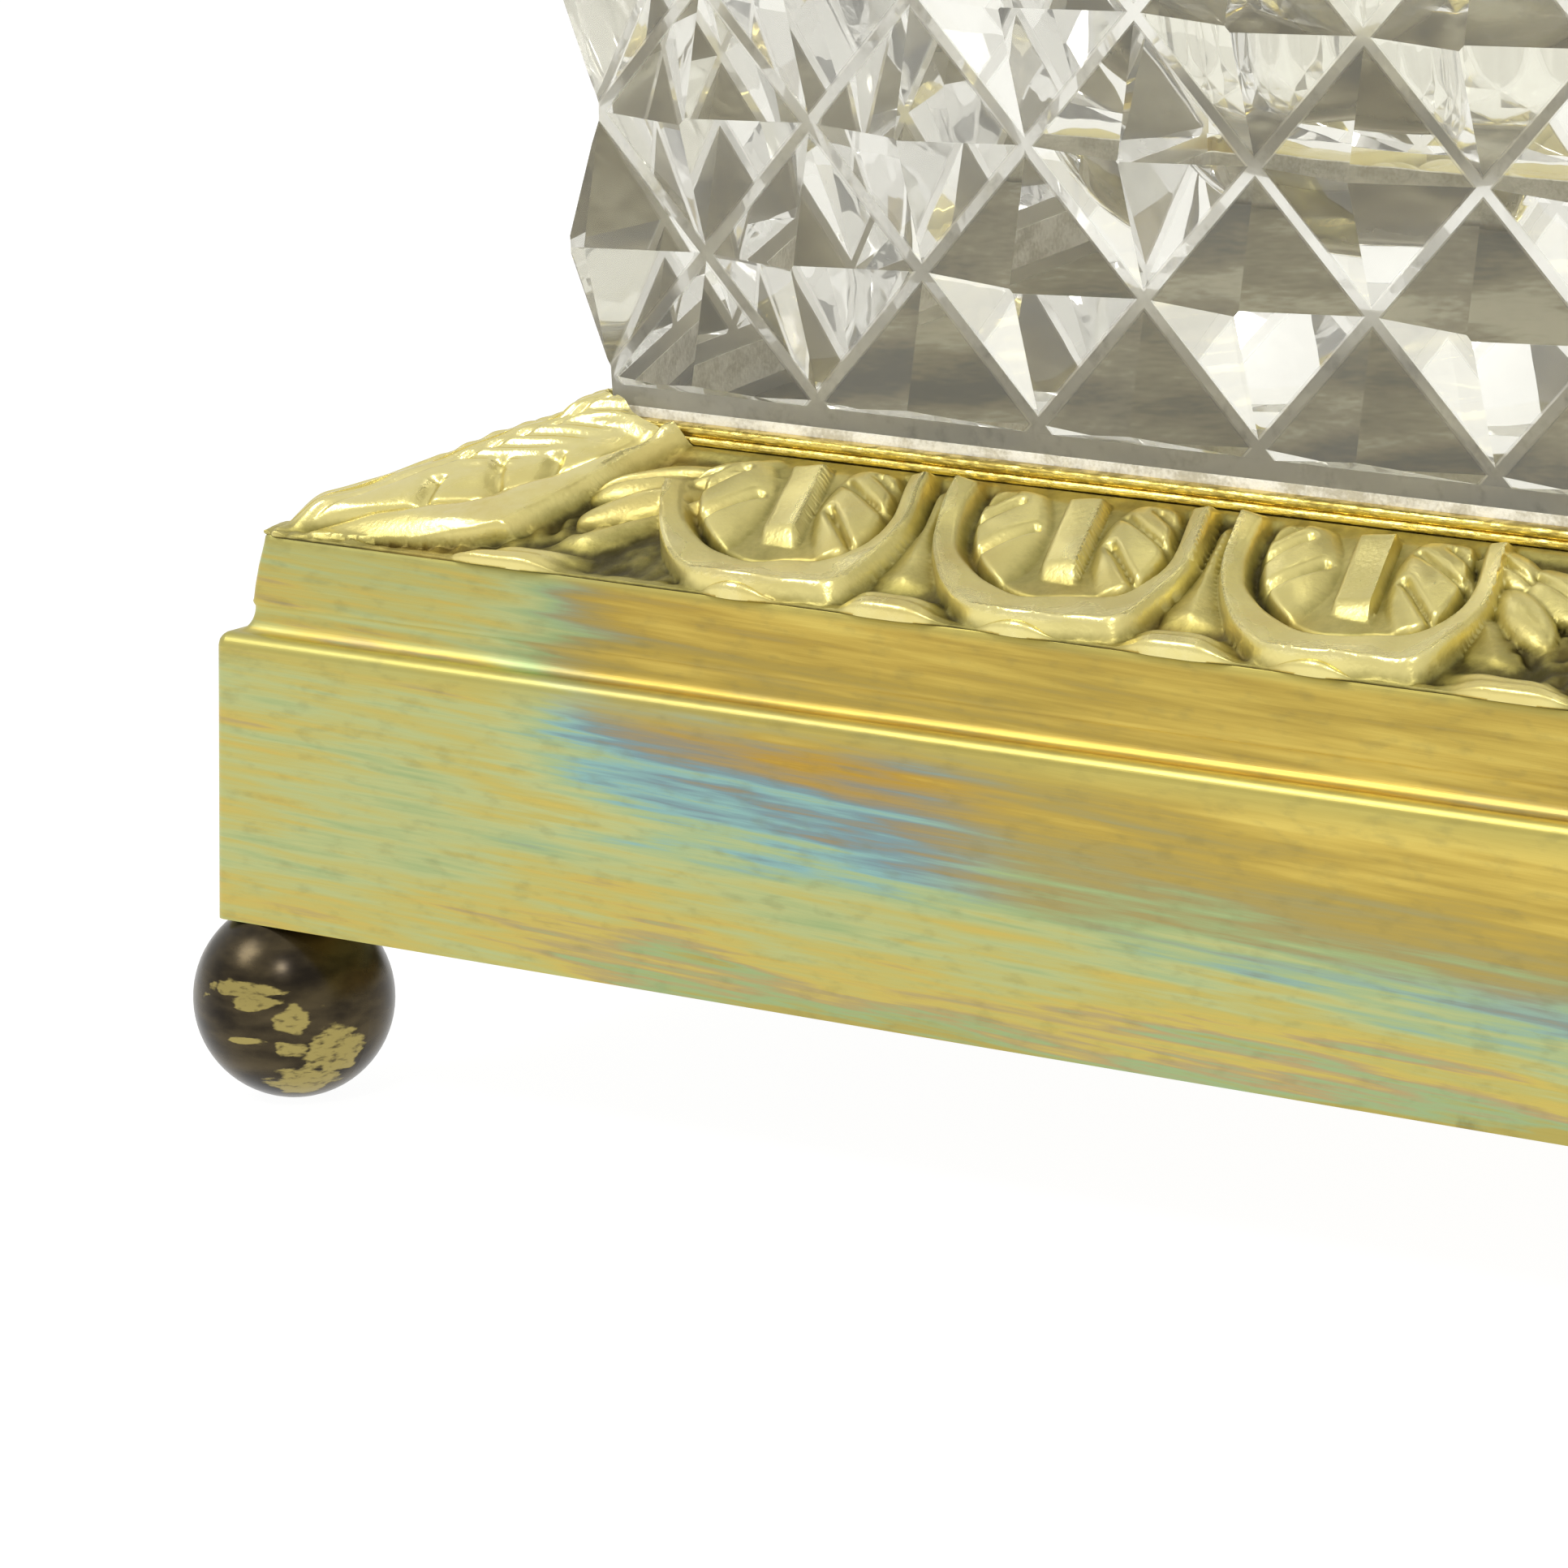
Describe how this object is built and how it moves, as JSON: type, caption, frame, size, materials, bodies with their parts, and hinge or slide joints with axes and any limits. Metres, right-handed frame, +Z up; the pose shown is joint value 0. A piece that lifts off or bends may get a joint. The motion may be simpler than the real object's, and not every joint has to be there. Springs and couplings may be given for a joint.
{
  "type": "inkwell",
  "caption": "Square cut-crystal inkwell with a hinged domed brass lid, on a stepped cast brass base with leaf moulding and ball feet.",
  "frame": {"origin": "on the ground under the centre of the base", "axes": "+Z up, front towards -Y, lid hinge at the back towards +Y, +X to the right seen from the front"},
  "size_m": [0.1136, 0.1136, 0.1442],
  "materials": {
    "brushed_brass": "brushed, tarnished in green, blue and orange",
    "cast_brass": "cast, polished on the high places",
    "bright_brass": "bright rolled sheet",
    "collar_brass": "turned, lightly tarnished",
    "screw_brass": "turned, dull",
    "dark_bronze": "dark brown patina, rubbed through to gold in patches",
    "plaster": "set plaster, grey",
    "crystal": "clear lead crystal, cut and polished"
  },
  "bodies": {
    "base": {"base_plinth": "brushed_brass", "base_moulding": "cast_brass", "seat_tray": "bright_brass", "cement_bed": "plaster", "tie_screws": "screw_brass", "crystal_block": "crystal", "neck_cement": "plaster", "neck_collar": "collar_brass", "collar_knuckles": "collar_brass", "hinge_pin": "screw_brass", "foot_front_left": "dark_bronze", "foot_front_right": "dark_bronze", "foot_back_left": "dark_bronze", "foot_back_right": "dark_bronze"},
    "lid": {"lid_knuckle": "collar_brass", "lid_ring": "collar_brass", "lid_lining": "bright_brass", "lid_dome": "brushed_brass", "finial": "dark_bronze", "finial_washer": "screw_brass", "finial_nut": "screw_brass", "thumb_tab": "collar_brass"}
  },
  "joints": [
    {"name": "lid_hinge", "type": "hinge", "parent": "base", "child": "lid", "pos_m": [0, 0.03, 0.11438], "axis": [-1, 0, 0], "range_deg": [0, 105]}
  ]
}
